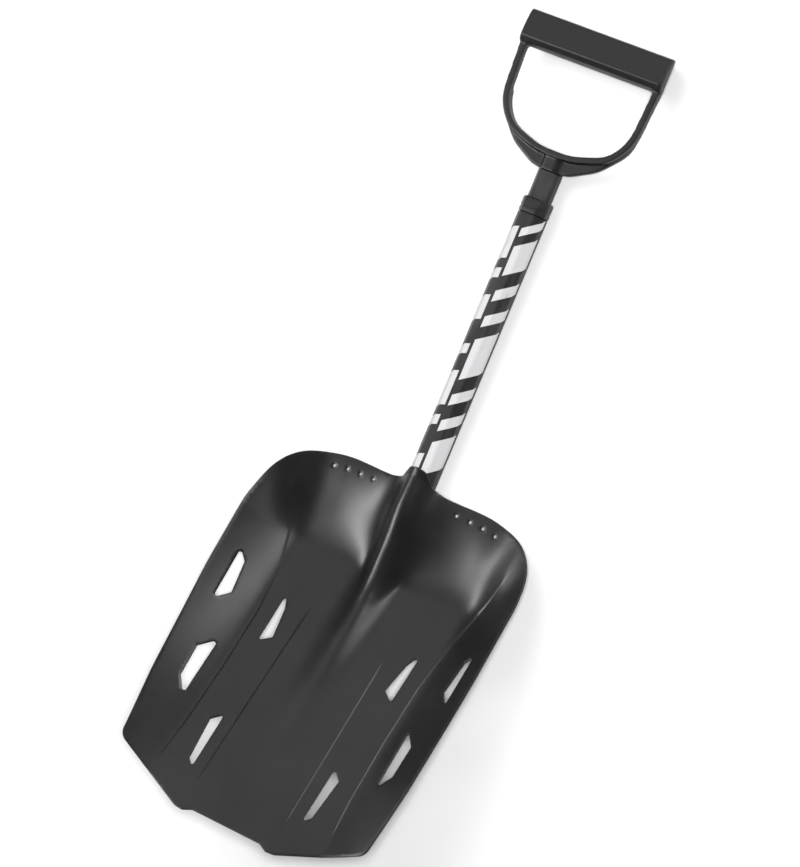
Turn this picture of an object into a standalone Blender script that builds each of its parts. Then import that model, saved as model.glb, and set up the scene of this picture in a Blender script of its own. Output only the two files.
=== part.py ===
"""Avalanche shovel: a pressed sheet blade, a two-stage telescopic shaft and a D-shaped grip.

The shovel lies on its back. +Y runs along the shaft from the blade's tip to the grip, +Z points up
out of the hollow side of the blade and X runs across it. The origin is on the ground, under the
middle of the folded shovel.

Every length is in millimetres. Shapes are made in the shaft's frame, whose Y axis is the shaft's
centre line, and finish() puts them in the shovel's frame and turns them into metres.
"""
import math

import bmesh
import bpy
from mathutils import Matrix, Vector

MM = 0.001
GAP = 0.3  # between pieces that touch
SPARE = 1.0  # how far a body or a tool reaches past the face where it is cut or joined

# Whole shovel
FOLDED_LENGTH = 657.2  # tip to grip with the shaft pushed in
SHEET = 1.8  # the blade and its socket plate
FIT = 0.35  # round the shaft in its socket

# Shaft tube: right half of its section, from the front flat round to the back flat
SECTION_HALF_WIDTH = 11.4
SECTION_HALF_DEPTH = 10.2
SECTION = (
    (6.2, SECTION_HALF_DEPTH, 2.0),
    (SECTION_HALF_WIDTH, 3.1, 3.0),
    (SECTION_HALF_WIDTH, -4.3, 3.0),
    (6.9, -SECTION_HALF_DEPTH, 2.5),
)
SMALLEST_CORNER = 0.6
AXIS_HEIGHT = SECTION_HALF_DEPTH + FIT + SHEET  # the shaft's centre line above the ground

# How far a section stands outside (+) or inside (-) the shaft tube's outer face
LOWER_BORE = -1.0
UPPER_FACE = -2.1
UPPER_BORE = -3.3
COLLAR_FACE = 0.3
COLLAR_BORE = UPPER_FACE + GAP
SOCKET_BORE = FIT
SOCKET_FACE = FIT + SHEET

# Stations along the shaft
SOCKET_END = -127.6
PLUG_END = SOCKET_END + GAP
LOWER_END = PLUG_END + 2.0
LOWER_PLUG_TOP = -84.0
BLADE_LOCK = -105.0
TUNNEL_END = -156.0  # well under the floor, where the tunnel has faded out
MOUTH_BASE = -38.1
MOUTH_TOP = -27.5
MOUTH_TOP_HEIGHT = 11.5  # the mouth's edge slants from this height over the centre line
MOUTH_BASE_HEIGHT = 5.8  # to this one, where it meets the blade's rim
MOUTH_BEND = 5.0  # under the rim, where the tunnel is trimmed back out of the socket plate's way
SOCKET_PLATE_BACK = -42.0
UPPER_PLUG_END = -55.0
UPPER_END = -52.0
UPPER_PLUG_TOP = 0.0
EXTENSION_LOCK = -19.0
COLLAR_LOW = 182.5
COLLAR_TOP = 194.8
COLLAR_SPIGOT_END = 166.0
NECK_LOW = 217.6
NECK_TOP = 230.0
GRIP_SPIGOT_END = 172.0
GRIP_RIVETS = (201.5, 211.0)
GRIP_TOP = FOLDED_LENGTH / 2
EXTENSION = 170.0  # from folded to full length

# Blade, in its own frame: X across, Y from the tip to the shoulders, Z out of the flat floor
LIFT = math.radians(22.0)  # the blade's floor against the shaft
FLOOR_CROSSING = 223.0  # where the shaft's centre line passes through the floor
BLADE_HALF_WIDTH = 121.5
BLADE_OUTLINE = (
    (30.8, 0.0, 1.5),
    (38.4, -3.4, 3.0),
    (46.0, -2.8, 12.0),
    (112.2, 25.4, 9.0),
    (117.4, 82.0, 300.0),
    (121.5, 172.0, 300.0),
    (121.3, 236.0, 60.0),
    (118.4, 262.0, 26.0),
    (104.0, 285.6, 26.0),
    (62.0, 295.4, 70.0),
    (16.0, 294.4, 0.0),
)
TIP_REACH = 3.4  # the two tip lobes stand this far in front of the notch
SIDE_START = 77.0  # where the floor starts to turn up into the side walls
SIDE_POWER = 1.3
SIDE_HEIGHT_AT_TIP = 8.5
SIDE_HEIGHT_GROWTH = 0.1
SIDE_HEIGHT_LIMIT = 31.0
BACK_START = 222.0
BACK_END = 296.0
BACK_HEIGHT = 28.0
BACK_POWER = 1.7
WALL_BLEND = 1.4  # how roundly the side and back walls run together at the shoulders
FLARE_HEIGHT = 6.5  # the back wall climbs this much more beside the shaft
FLARE_WIDTH = 24.0
PERFORATIONS = (
    ((107.1, 195.9), (100.7, 188.4), (97.6, 162.7), (106.3, 151.3)),
    ((62.1, 184.5), (56.0, 171.3), (51.9, 147.0), (61.4, 140.2)),
    ((87.8, 125.9), (98.2, 113.7), (97.3, 88.0), (88.7, 75.7)),
    ((50.9, 76.2), (59.4, 68.6), (56.5, 35.0), (50.7, 28.8)),
)
PERFORATION_CORNER = 1.5
SHOULDER_HOLES = ((38.2, 286.7), (50.3, 286.5), (62.0, 286.0), (73.7, 284.4))
SHOULDER_HOLE_RADIUS = 1.8
GRID_CELLS = (20, 25)
GRID_MARGIN = 6.0
FLAT_SHARE = 0.4  # of the grid's lines lie on the flat floor, and the rest on the walls

# Socket plate flanges and their flush rivets, in the blade's frame
FLANGE_OUTLINE = ((12.0, 148.0, 6.0), (33.0, 156.0, 8.0), (33.0, 216.0, 8.0), (12.0, 226.0, 4.0))
FLANGE_THICKNESS = 1.6
RIVET_ROWS = (164.0, 187.0, 210.0)
RIVET_SIDE = 24.5
RIVET_RADIUS = 2.0
RIVET_HEAD_RADIUS = 3.5
RIVET_HEAD_DEPTH = 1.0
RIVET_TAIL_RADIUS = 3.4
RIVET_TAIL_HEIGHT = 1.6
RIVET_HEAD_ROOM = GAP + 0.2  # round the head, whose cone is shallower than its countersink
RIVET_HEAD_SINK = 0.1  # the head lies this far under the blade's surface
RIVET_HOLE_REACH = (5.0, -9.0)  # above and below the blade's surface

# Lock buttons, which move out through the back of the shaft
BUTTON_RADIUS = 3.0
BUTTON_HOLE_RADIUS = 3.3
BUTTON_FLANGE_RADIUS = 4.2
BUTTON_FLANGE = 1.5
BUTTON_CHAMBER_RADIUS = 4.5
EXTENSION_BUTTON_TRAVEL = 3.6
BLADE_BUTTON_TRAVEL = 2.0
EXTENSION_CHAMBER_TOP = 4.5
BLADE_CHAMBER_TOP = 4.5
SPRING_RADIUS = 2.8
SPRING_WIRE = 0.7
SPRING_TURNS = 4
SPRING_STEPS = 12

# Grip, seen from the front: right halves
ARM_FRONT = 9.4
ARM_BACK = 2.4
GRIP_HALF_WIDTH = 62.8
BAR_SECTION = (
    (GRIP_TOP, 10.0, 3.0),
    (303.6, 14.0, 3.0),
    (300.6, 8.0, 2.5),
    (302.0, -8.0, 4.0),
    (308.0, -AXIS_HEIGHT, 3.0),
    (323.5, -AXIS_HEIGHT, 3.0),
    (GRIP_TOP, -8.0, 4.0),
)
BAR_PLAN = (
    (58.0, 15.0, 4.0),
    (GRIP_HALF_WIDTH, ARM_FRONT + 3.2, 2.0),
    (GRIP_HALF_WIDTH, ARM_BACK + 2.6, 2.0),
    (49.0, -AXIS_HEIGHT - 1.0, 6.0),
)
GRIP_OPENING = (
    (56.0, 304.0, 0.0),
    (53.2, 259.0, 24.0),
    (41.8, 243.0, 18.0),
    (14.0, 234.0, 36.0),
)
GRIP_BAND = (
    (62.5, 310.0, 0.0),
    (59.4, 256.0, 24.0),
    (45.4, 236.8, 18.0),
    (16.0, 226.6, 36.0),
)
GRIP_WEB = (
    (59.0, 266.0, 0.0),
    (56.6, 250.0, 18.0),
    (37.5, 229.5, 24.0),
    (16.6, 219.0, 8.0),
    (9.0, NECK_LOW, 0.0),
)
WEB_FRONT = 5.0
WEB_BACK = 0.6
NECK_FACE = UPPER_FACE + 0.3
GRIP_SPIGOT_FACE = UPPER_BORE - GAP
GRIP_RIVET_RADIUS = 1.6
GRIP_RIVET_HEAD_RADIUS = 3.0
GRIP_RIVET_HEAD = 0.9
GRIP_RIVET_LENGTH = 5.0

AROUND = 20  # facets round a turned piece
SMALL_AROUND = 12
WELD = 0.01  # corners closer than this are one
LONG = 200.0  # longer than anything that a tool has to cut through

MATERIALS = {
    "blade_black": ((0.028, 0.028, 0.029), 0.42, 0.6),
    "plate_black": ((0.03, 0.03, 0.031), 0.45, 0.6),
    "shaft_black": ((0.035, 0.035, 0.037), 0.36, 0.5),
    "grip_black": ((0.032, 0.032, 0.034), 0.55, 0.0),
    "nylon_black": ((0.025, 0.025, 0.026), 0.5, 0.0),
    "steel": ((0.55, 0.55, 0.56), 0.3, 1.0),
}


# Scene helpers

def clear_scene():
    for thing in list(bpy.data.objects):
        bpy.data.objects.remove(thing, do_unlink=True)


def new_collection(name):
    group = bpy.data.collections.new(name)
    bpy.context.scene.collection.children.link(group)
    return group


def make_material(name):
    colour, roughness, metallic = MATERIALS[name]
    material = bpy.data.materials.new(name)
    material.use_nodes = True
    shader = material.node_tree.nodes["Principled BSDF"]
    shader.inputs["Base Color"].default_value = (*colour, 1.0)
    shader.inputs["Roughness"].default_value = roughness
    shader.inputs["Metallic"].default_value = metallic
    return material


def in_workshop(data):
    """A new object in the collection of unfinished bodies."""
    thing = bpy.data.objects.new(data.name, data)
    bpy.data.collections["workshop"].objects.link(thing)
    return thing


def frozen(thing):
    """The object again, as a plain mesh with its modifiers or its curve worked out."""
    bpy.context.view_layer.update()
    mesh = bpy.data.meshes.new_from_object(thing.evaluated_get(bpy.context.evaluated_depsgraph_get()))
    body = bmesh.new()
    body.from_mesh(mesh)
    bmesh.ops.remove_doubles(body, verts=body.verts, dist=WELD)
    bmesh.ops.triangulate(body, faces=body.faces)
    body.to_mesh(mesh)
    body.free()
    bpy.data.objects.remove(thing, do_unlink=True)
    return in_workshop(mesh)


def finish(thing, name, material, parent):
    """Scale a finished body to metres, stand it on the ground and hang it on its joint's empty."""
    thing.name = name
    thing.data.name = name
    thing.data.transform(Matrix.Scale(MM, 4) @ Matrix.Translation((0.0, 0.0, AXIS_HEIGHT)))
    thing.data.materials.clear()
    thing.data.materials.append(bpy.data.materials[material])
    thing.data.shade_smooth()
    thing.data.set_sharp_from_angle(angle=math.radians(32.0))
    bpy.data.collections["workshop"].objects.unlink(thing)
    bpy.data.collections["avalanche_shovel"].objects.link(thing)
    thing.parent = parent
    thing.matrix_parent_inverse = Matrix.Translation(parent.location).inverted()
    return thing


def make_axis(name, y=0.0, z=0.0):
    """An empty on a joint's line of travel."""
    empty = bpy.data.objects.new(name, None)
    empty.empty_display_size = 0.02
    empty.location = (0.0, y * MM, (z + AXIS_HEIGHT) * MM)
    bpy.data.collections["avalanche_shovel"].objects.link(empty)
    return empty


# Shape helpers

def rounded(corners, steps=4):
    """Points of a closed outline whose corners (x, y, radius) are arcs."""
    points = []
    for number, (x, y, radius) in enumerate(corners):
        corner = Vector((x, y))
        if radius == 0.0:
            points.append(corner)
            continue
        back = (Vector(corners[number - 1][:2]) - corner).normalized()
        ahead = (Vector(corners[(number + 1) % len(corners)][:2]) - corner).normalized()
        half_angle = back.angle(ahead) / 2.0
        centre = corner + (back + ahead).normalized() * radius / math.sin(half_angle)
        start = corner + back * radius / math.tan(half_angle) - centre
        turn = math.pi - 2.0 * half_angle
        if back.x * ahead.y - back.y * ahead.x > 0.0:
            turn = -turn
        for step in range(steps + 1):
            points.append(centre + Matrix.Rotation(turn * step / steps, 2) @ start)
    return points


def both_sides(half):
    """Corners of a symmetric outline from those of its right half."""
    return list(half) + [(-x, y, radius) for x, y, radius in reversed(half)]


def tube_section(offset, steps=4):
    """The shaft's section, with its faces moved out by an offset."""
    wider = 1.0 + offset / SECTION_HALF_WIDTH
    deeper = 1.0 + offset / SECTION_HALF_DEPTH
    corners = [(x * wider, z * deeper, max(radius + offset / 2.0, SMALLEST_CORNER)) for x, z, radius in SECTION]
    return rounded(both_sides(corners), steps)


def prism(outlines, low, high, axis):
    """Outlines extruded along an axis. The second one, if there is one, is a hole in the first."""
    outline = bpy.data.curves.new("outline", "CURVE")
    outline.dimensions = "2D"
    outline.fill_mode = "BOTH"
    outline.extrude = (high - low) / 2.0
    for points in outlines:
        spline = outline.splines.new("POLY")
        spline.points.add(len(points) - 1)
        for slot, point in zip(spline.points, points):
            slot.co = (point[0], point[1], 0.0, 1.0)
        spline.use_cyclic_u = True
    body = frozen(in_workshop(outline))
    middle = (low + high) / 2.0
    turns = {
        "X": Matrix(((0, 0, 1, middle), (1, 0, 0, 0), (0, 1, 0, 0), (0, 0, 0, 1))),
        "Y": Matrix(((1, 0, 0, 0), (0, 0, -1, middle), (0, 1, 0, 0), (0, 0, 0, 1))),
        "Z": Matrix.Translation((0.0, 0.0, middle)),
    }
    body.data.transform(turns[axis])
    return body


def tube(face, bore, low, high):
    """A length of the shaft's section along Y, hollow unless the bore is None."""
    outlines = [tube_section(face)]
    if bore is not None:
        outlines.append(tube_section(bore))
    return prism(outlines, low, high, "Y")


def turned(profile, facets=AROUND):
    """A body turned about Z from a profile (radius, z) that runs down from its top."""
    mesh = bpy.data.meshes.new("profile")
    edges = [(number, number + 1) for number in range(len(profile) - 1)]
    mesh.from_pydata([(radius, 0.0, z) for radius, z in profile], edges, [])
    body = in_workshop(mesh)
    screw = body.modifiers.new("Screw", "SCREW")
    screw.steps = facets
    screw.render_steps = facets
    screw.use_merge_vertices = True
    screw.merge_threshold = 0.0001
    return frozen(body)


def rod(radius, low, high, x=0.0, y=0.0, facets=AROUND):
    """A plain cylinder along Z."""
    body = turned(((0.0, high), (radius, high), (radius, low), (0.0, low)), facets)
    body.data.transform(Matrix.Translation((x, y, 0.0)))
    return body


def combine(body, tool, operation):
    """Cut or join two bodies. The tool is used up."""
    boolean = body.modifiers.new("Boolean", "BOOLEAN")
    boolean.operation = operation
    boolean.object = tool
    result = frozen(body)
    bpy.data.objects.remove(tool, do_unlink=True)
    return result


# Blade

def blade_frame():
    """Takes the blade's own frame into the shaft's."""
    tip_to_origin = TIP_REACH * math.cos(LIFT) + SHEET * math.sin(LIFT)
    place = (0.0, tip_to_origin - FOLDED_LENGTH / 2.0, FLOOR_CROSSING * math.sin(LIFT))
    return Matrix.Translation(place) @ Matrix.Rotation(-LIFT, 4, "X")


def rise(distance, start, end, power):
    return max(0.0, (distance - start) / (end - start)) ** power


def floor_height(x, y):
    """Front surface of the blade at (x, y), before the socket tunnel is raised in it."""
    side_height = min(SIDE_HEIGHT_AT_TIP + SIDE_HEIGHT_GROWTH * max(y, 0.0), SIDE_HEIGHT_LIMIT)
    side = side_height * rise(abs(x), SIDE_START, BLADE_HALF_WIDTH, SIDE_POWER)
    back_rise = rise(y, BACK_START, BACK_END, BACK_POWER)
    walls = (side ** WALL_BLEND + (BACK_HEIGHT * back_rise) ** WALL_BLEND) ** (1.0 / WALL_BLEND)
    return walls + FLARE_HEIGHT * back_rise * math.exp(-(x / FLARE_WIDTH) ** 2)


def grid_line(share, start, bend, end):
    """Place of a grid line: they are wide apart up to the bend, and close together after it."""
    if share < FLAT_SHARE:
        return start + (bend - start) * share / FLAT_SHARE
    return bend + (end - bend) * (share - FLAT_SHARE) / (1.0 - FLAT_SHARE)


def floor_body(low, high):
    """A body that follows the blade's front surface, from one distance off it to another."""
    body = bmesh.new()
    bmesh.ops.create_grid(body, x_segments=GRID_CELLS[0], y_segments=GRID_CELLS[1], size=1.0)
    lower = list(body.verts)
    made = bmesh.ops.extrude_face_region(body, geom=body.faces[:], use_keep_orig=True)["geom"]
    upper = [vertex for vertex in made if isinstance(vertex, bmesh.types.BMVert)]
    for vertices, offset in ((lower, low), (upper, high)):
        for vertex in vertices:
            half_x = grid_line(abs(vertex.co.x), 0.0, SIDE_START, BLADE_HALF_WIDTH + GRID_MARGIN)
            x = math.copysign(half_x, vertex.co.x)
            across = (vertex.co.y + 1.0) / 2.0
            y = grid_line(across, -TIP_REACH - GRID_MARGIN, BACK_START, BACK_END + GRID_MARGIN)
            height = floor_height(x, y)
            slope = Vector((floor_height(x + 1.0, y) - height, floor_height(x, y + 1.0) - height))
            vertex.co = (x, y, height + offset * math.sqrt(1.0 + slope.length_squared))
    bmesh.ops.recalc_face_normals(body, faces=body.faces)
    mesh = bpy.data.meshes.new("floor")
    body.to_mesh(mesh)
    body.free()
    return in_workshop(mesh)


def in_blade_frame(body):
    body.data.transform(blade_frame())
    return body


def make_blade():
    """The pressed sheet: flat floor, side and back walls, the tunnel over the shaft and every hole."""
    blade = floor_body(-SHEET, 0.0)
    outline = prism([rounded(both_sides(BLADE_OUTLINE))], -LONG, LONG, "Z")
    blade = in_blade_frame(combine(blade, outline, "INTERSECT"))
    top = SOCKET_FACE + SECTION_HALF_DEPTH + SPARE
    tunnel_side = (
        (TUNNEL_END - SPARE, top),
        (MOUTH_TOP, top),
        (MOUTH_TOP - SPARE, MOUTH_TOP_HEIGHT),
        (MOUTH_BASE, MOUTH_BASE_HEIGHT),
        (MOUTH_BASE - MOUTH_BEND, 0.0),
        (MOUTH_BASE - MOUTH_BEND, -AXIS_HEIGHT),
        (TUNNEL_END - SPARE, -AXIS_HEIGHT),
    )
    tunnel = tube(SOCKET_FACE, None, TUNNEL_END, 0.0)
    tunnel = combine(tunnel, prism([tunnel_side], -LONG, LONG, "X"), "INTERSECT")
    tunnel = combine(tunnel, in_blade_frame(floor_body(-LONG, -SHEET / 2.0)), "DIFFERENCE")
    blade = combine(blade, tunnel, "UNION")
    blade = combine(blade, tube(SOCKET_BORE, None, -LONG, 0.0), "DIFFERENCE")
    for side in (1.0, -1.0):
        for corners in PERFORATIONS:
            outline = rounded([(side * x, y, PERFORATION_CORNER) for x, y in corners], steps=2)
            tool = in_blade_frame(prism([outline], -LONG, LONG, "Z"))
            blade = combine(blade, tool, "DIFFERENCE")
        for x, y in SHOULDER_HOLES:
            tool = in_blade_frame(rod(SHOULDER_HOLE_RADIUS, -LONG, LONG, side * x, y, SMALL_AROUND))
            blade = combine(blade, tool, "DIFFERENCE")
    for x, y in rivet_places():
        blade = combine(blade, rivet_hole(x, y), "DIFFERENCE")
    return blade


def rivet_places():
    return [(side * RIVET_SIDE, y) for y in RIVET_ROWS for side in (1.0, -1.0)]


def rivet_hole(x, y):
    """A countersunk hole right through the blade and the flange under it."""
    neck = RIVET_RADIUS + GAP
    mouth = RIVET_HEAD_RADIUS + RIVET_HEAD_ROOM
    top, bottom = RIVET_HOLE_REACH
    profile = (
        (0.0, top),
        (mouth, top),
        (mouth, 0.0),
        (neck, -RIVET_HEAD_DEPTH),
        (neck, bottom),
        (0.0, bottom),
    )
    hole = turned(profile, SMALL_AROUND)
    hole.data.transform(Matrix.Translation((x, y, 0.0)))
    return in_blade_frame(hole)


def make_flush_rivet(x, y):
    """A rivet with its head let into the front of the blade and its tail behind the flange."""
    flange_back = -SHEET - GAP - FLANGE_THICKNESS
    tail = flange_back - GAP
    profile = (
        (0.0, -RIVET_HEAD_SINK),
        (RIVET_HEAD_RADIUS, -RIVET_HEAD_SINK),
        (RIVET_RADIUS, -RIVET_HEAD_DEPTH),
        (RIVET_RADIUS, tail),
        (RIVET_TAIL_RADIUS, tail),
        (RIVET_TAIL_RADIUS - 0.6, tail - RIVET_TAIL_HEIGHT * 0.7),
        (RIVET_RADIUS * 0.6, tail - RIVET_TAIL_HEIGHT),
        (0.0, tail - RIVET_TAIL_HEIGHT),
    )
    rivet = turned(profile, SMALL_AROUND)
    rivet.data.transform(Matrix.Translation((x, y, 0.0)))
    return in_blade_frame(rivet)


def make_socket_plate():
    """The trough behind the tunnel. It closes the socket and carries the shaft."""
    depth = SECTION_HALF_DEPTH + SOCKET_FACE
    side = (
        (SOCKET_PLATE_BACK, -depth - SPARE),
        (SOCKET_END + SPARE, -depth - SPARE),
        (SOCKET_END - SHEET, -depth + SHEET),
        (SOCKET_END - SHEET - 2.0, depth),
        (SOCKET_PLATE_BACK, depth),
    )
    plate = tube(SOCKET_FACE, None, SOCKET_END - 8.0, SOCKET_PLATE_BACK + 2.0)
    plate = combine(plate, prism([side], -LONG, LONG, "X"), "INTERSECT")
    front = -SHEET - GAP
    flange = prism([rounded(both_sides(FLANGE_OUTLINE))], front - FLANGE_THICKNESS, front + SPARE, "Z")
    plate = combine(plate, in_blade_frame(flange), "UNION")
    plate = combine(plate, in_blade_frame(floor_body(-SHEET - GAP, LONG)), "DIFFERENCE")
    plate = combine(plate, tube(SOCKET_BORE, None, SOCKET_END, 0.0), "DIFFERENCE")
    for x, y in rivet_places():
        plate = combine(plate, rivet_hole(x, y), "DIFFERENCE")
    return combine(plate, rod(BUTTON_HOLE_RADIUS, -LONG, 0.0, y=BLADE_LOCK), "DIFFERENCE")


# Shaft

def make_lower_shaft():
    """The outer tube, with lock holes for the blade and for both ends of the extension."""
    shaft = tube(0.0, LOWER_BORE, LOWER_END + GAP, COLLAR_LOW - GAP)
    for y in (BLADE_LOCK, EXTENSION_LOCK, EXTENSION_LOCK + EXTENSION):
        shaft = combine(shaft, rod(BUTTON_HOLE_RADIUS, -LONG, 0.0, y=y), "DIFFERENCE")
    return shaft


def make_lower_shaft_plug():
    """Closes the outer tube's end and houses the button that locks it in the blade."""
    plug = tube(LOWER_BORE - GAP, None, LOWER_END - SPARE, LOWER_PLUG_TOP)
    plug = combine(plug, tube(0.0, None, PLUG_END, LOWER_END), "UNION")
    return combine(plug, rod(BUTTON_CHAMBER_RADIUS, -LONG, BLADE_CHAMBER_TOP, y=BLADE_LOCK), "DIFFERENCE")


def make_guide_collar():
    """The moulded collar on the outer tube's mouth, with a thin spigot that guides the inner tube."""
    collar = tube(COLLAR_FACE, None, COLLAR_LOW, COLLAR_TOP)
    collar = combine(collar, tube(LOWER_BORE - GAP, None, COLLAR_SPIGOT_END, COLLAR_LOW + SPARE), "UNION")
    return combine(collar, tube(COLLAR_BORE, None, COLLAR_SPIGOT_END - SPARE, COLLAR_TOP + SPARE), "DIFFERENCE")


def make_upper_shaft():
    """The inner tube, with holes for its lock button and for the grip's rivets."""
    shaft = tube(UPPER_FACE, UPPER_BORE, UPPER_END, NECK_LOW - GAP)
    shaft = combine(shaft, rod(BUTTON_HOLE_RADIUS, -LONG, 0.0, y=EXTENSION_LOCK), "DIFFERENCE")
    for y in GRIP_RIVETS:
        shaft = combine(shaft, rod(GRIP_RIVET_RADIUS + GAP, -LONG, 0.0, y=y), "DIFFERENCE")
    return shaft


def make_upper_shaft_plug():
    """Glides in the outer tube and houses the button that locks the extension."""
    plug = tube(UPPER_BORE - GAP, None, UPPER_END - SPARE, UPPER_PLUG_TOP)
    plug = combine(plug, tube(LOWER_BORE - GAP, None, UPPER_PLUG_END, UPPER_END - GAP), "UNION")
    chamber = rod(BUTTON_CHAMBER_RADIUS, -LONG, EXTENSION_CHAMBER_TOP, y=EXTENSION_LOCK)
    return combine(plug, chamber, "DIFFERENCE")


def extension_button_levels():
    """Heights of the pressed-in button's tip, of its flange's outer face and of its inner face."""
    tip = -(SECTION_HALF_DEPTH + UPPER_FACE)
    stop = -(SECTION_HALF_DEPTH + UPPER_BORE) + GAP
    flange = stop + EXTENSION_BUTTON_TRAVEL
    return tip, flange, flange + BUTTON_FLANGE


def blade_button_levels():
    """The same three heights for the button that locks the blade."""
    tip = -SECTION_HALF_DEPTH + 0.1
    stop = -(SECTION_HALF_DEPTH + LOWER_BORE) + GAP
    flange = stop + BLADE_BUTTON_TRAVEL
    return tip, flange, flange + BUTTON_FLANGE


def make_button(levels, y):
    """A round-nosed button with a flange that keeps it in the tube."""
    tip, flange, top = levels
    profile = (
        (0.0, top),
        (BUTTON_FLANGE_RADIUS, top),
        (BUTTON_FLANGE_RADIUS, flange),
        (BUTTON_RADIUS, flange),
        (BUTTON_RADIUS, tip + 0.8),
        (BUTTON_RADIUS - 0.8, tip),
        (0.0, tip),
    )
    button = turned(profile)
    button.data.transform(Matrix.Translation((0.0, y, 0.0)))
    return button


def make_spring(low, high, y):
    """A coil spring between two heights, with plain cut ends."""
    wire = bpy.data.curves.new("wire", "CURVE")
    wire.dimensions = "3D"
    wire.bevel_depth = SPRING_WIRE / 2.0
    wire.bevel_resolution = 2
    wire.use_fill_caps = True
    spline = wire.splines.new("POLY")
    count = SPRING_TURNS * SPRING_STEPS + 1
    spline.points.add(count - 1)
    bottom = low + GAP + SPRING_WIRE / 2.0
    climb = high - low - 2.0 * GAP - SPRING_WIRE
    for number, slot in enumerate(spline.points):
        angle = 2.0 * math.pi * number / SPRING_STEPS
        x = SPRING_RADIUS * math.cos(angle)
        slot.co = (x, y + SPRING_RADIUS * math.sin(angle), bottom + climb * number / (count - 1), 1.0)
    return frozen(in_workshop(wire))


# Grip

def make_grip():
    """One moulding: hand bar, two arms, a curved yoke with a web behind it, and a neck."""
    grip = prism([rounded(both_sides(GRIP_BAND), steps=6)], ARM_BACK, ARM_FRONT, "Z")
    web = prism([rounded(both_sides(GRIP_WEB), steps=5)], WEB_BACK, WEB_FRONT, "Z")
    grip = combine(grip, web, "UNION")
    grip = combine(grip, prism([rounded(both_sides(GRIP_OPENING), steps=6)], -LONG, LONG, "Z"), "DIFFERENCE")
    bar = prism([rounded(BAR_SECTION)], -GRIP_HALF_WIDTH, GRIP_HALF_WIDTH, "X")
    bar = combine(bar, prism([rounded(both_sides(BAR_PLAN))], 290.0, GRIP_TOP + 5.0, "Y"), "INTERSECT")
    grip = combine(grip, bar, "UNION")
    grip = combine(grip, tube(NECK_FACE, None, NECK_LOW, NECK_TOP), "UNION")
    grip = combine(grip, tube(GRIP_SPIGOT_FACE, None, GRIP_SPIGOT_END, NECK_LOW + SPARE), "UNION")
    for y in GRIP_RIVETS:
        grip = combine(grip, rod(GRIP_RIVET_RADIUS + GAP, -LONG, 0.0, y=y), "DIFFERENCE")
    return grip


def make_grip_rivet(y):
    """A blind rivet through the back of the inner tube into the grip's spigot."""
    face = -(SECTION_HALF_DEPTH + UPPER_FACE) - GAP
    profile = (
        (0.0, face + GRIP_RIVET_LENGTH),
        (GRIP_RIVET_RADIUS, face + GRIP_RIVET_LENGTH),
        (GRIP_RIVET_RADIUS, face),
        (GRIP_RIVET_HEAD_RADIUS, face),
        (GRIP_RIVET_HEAD_RADIUS * 0.7, face - GRIP_RIVET_HEAD),
        (0.0, face - GRIP_RIVET_HEAD),
    )
    rivet = turned(profile)
    rivet.data.transform(Matrix.Translation((0.0, y, 0.0)))
    return rivet


# Assembly

def build_blade_group():
    axis = make_axis("blade_axis", y=BLADE_LOCK)
    finish(make_blade(), "blade", "blade_black", axis)
    finish(make_socket_plate(), "socket_plate", "plate_black", axis)
    for number, (x, y) in enumerate(rivet_places(), start=1):
        finish(make_flush_rivet(x, y), f"socket_rivet_{number}", "plate_black", axis)


def build_lower_group():
    axis = make_axis("lower_shaft_axis", y=BLADE_LOCK)
    finish(make_lower_shaft(), "lower_shaft", "shaft_black", axis)
    finish(make_lower_shaft_plug(), "lower_shaft_plug", "nylon_black", axis)
    finish(make_guide_collar(), "guide_collar", "nylon_black", axis)
    levels = blade_button_levels()
    button_axis = make_axis("blade_button_axis", y=BLADE_LOCK, z=levels[0])
    finish(make_button(levels, BLADE_LOCK), "blade_button", "steel", button_axis)
    finish(make_spring(levels[2], BLADE_CHAMBER_TOP, BLADE_LOCK), "blade_button_spring", "steel", button_axis)


def build_upper_group():
    axis = make_axis("upper_shaft_axis", y=EXTENSION_LOCK)
    finish(make_upper_shaft(), "upper_shaft", "shaft_black", axis)
    finish(make_upper_shaft_plug(), "upper_shaft_plug", "nylon_black", axis)
    finish(make_grip(), "d_grip", "grip_black", axis)
    for number, y in enumerate(GRIP_RIVETS, start=1):
        finish(make_grip_rivet(y), f"grip_rivet_{number}", "shaft_black", axis)
    levels = extension_button_levels()
    button_axis = make_axis("extension_button_axis", y=EXTENSION_LOCK, z=levels[0])
    finish(make_button(levels, EXTENSION_LOCK), "extension_button", "steel", button_axis)
    spring = make_spring(levels[2], EXTENSION_CHAMBER_TOP, EXTENSION_LOCK)
    finish(spring, "extension_button_spring", "steel", button_axis)


def main():
    clear_scene()
    new_collection("avalanche_shovel")
    new_collection("workshop")
    for name in MATERIALS:
        make_material(name)
    build_blade_group()
    build_lower_group()
    build_upper_group()


main()
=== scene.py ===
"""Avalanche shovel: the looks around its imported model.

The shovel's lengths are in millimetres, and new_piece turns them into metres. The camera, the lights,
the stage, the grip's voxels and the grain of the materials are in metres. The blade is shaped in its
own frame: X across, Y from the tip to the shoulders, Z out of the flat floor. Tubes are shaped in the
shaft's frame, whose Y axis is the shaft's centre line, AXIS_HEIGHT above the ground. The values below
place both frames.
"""
import math

import bmesh
import bpy
from mathutils import Matrix, Vector
from mathutils.geometry import delaunay_2d_cdt
from mathutils.kdtree import KDTree


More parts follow.
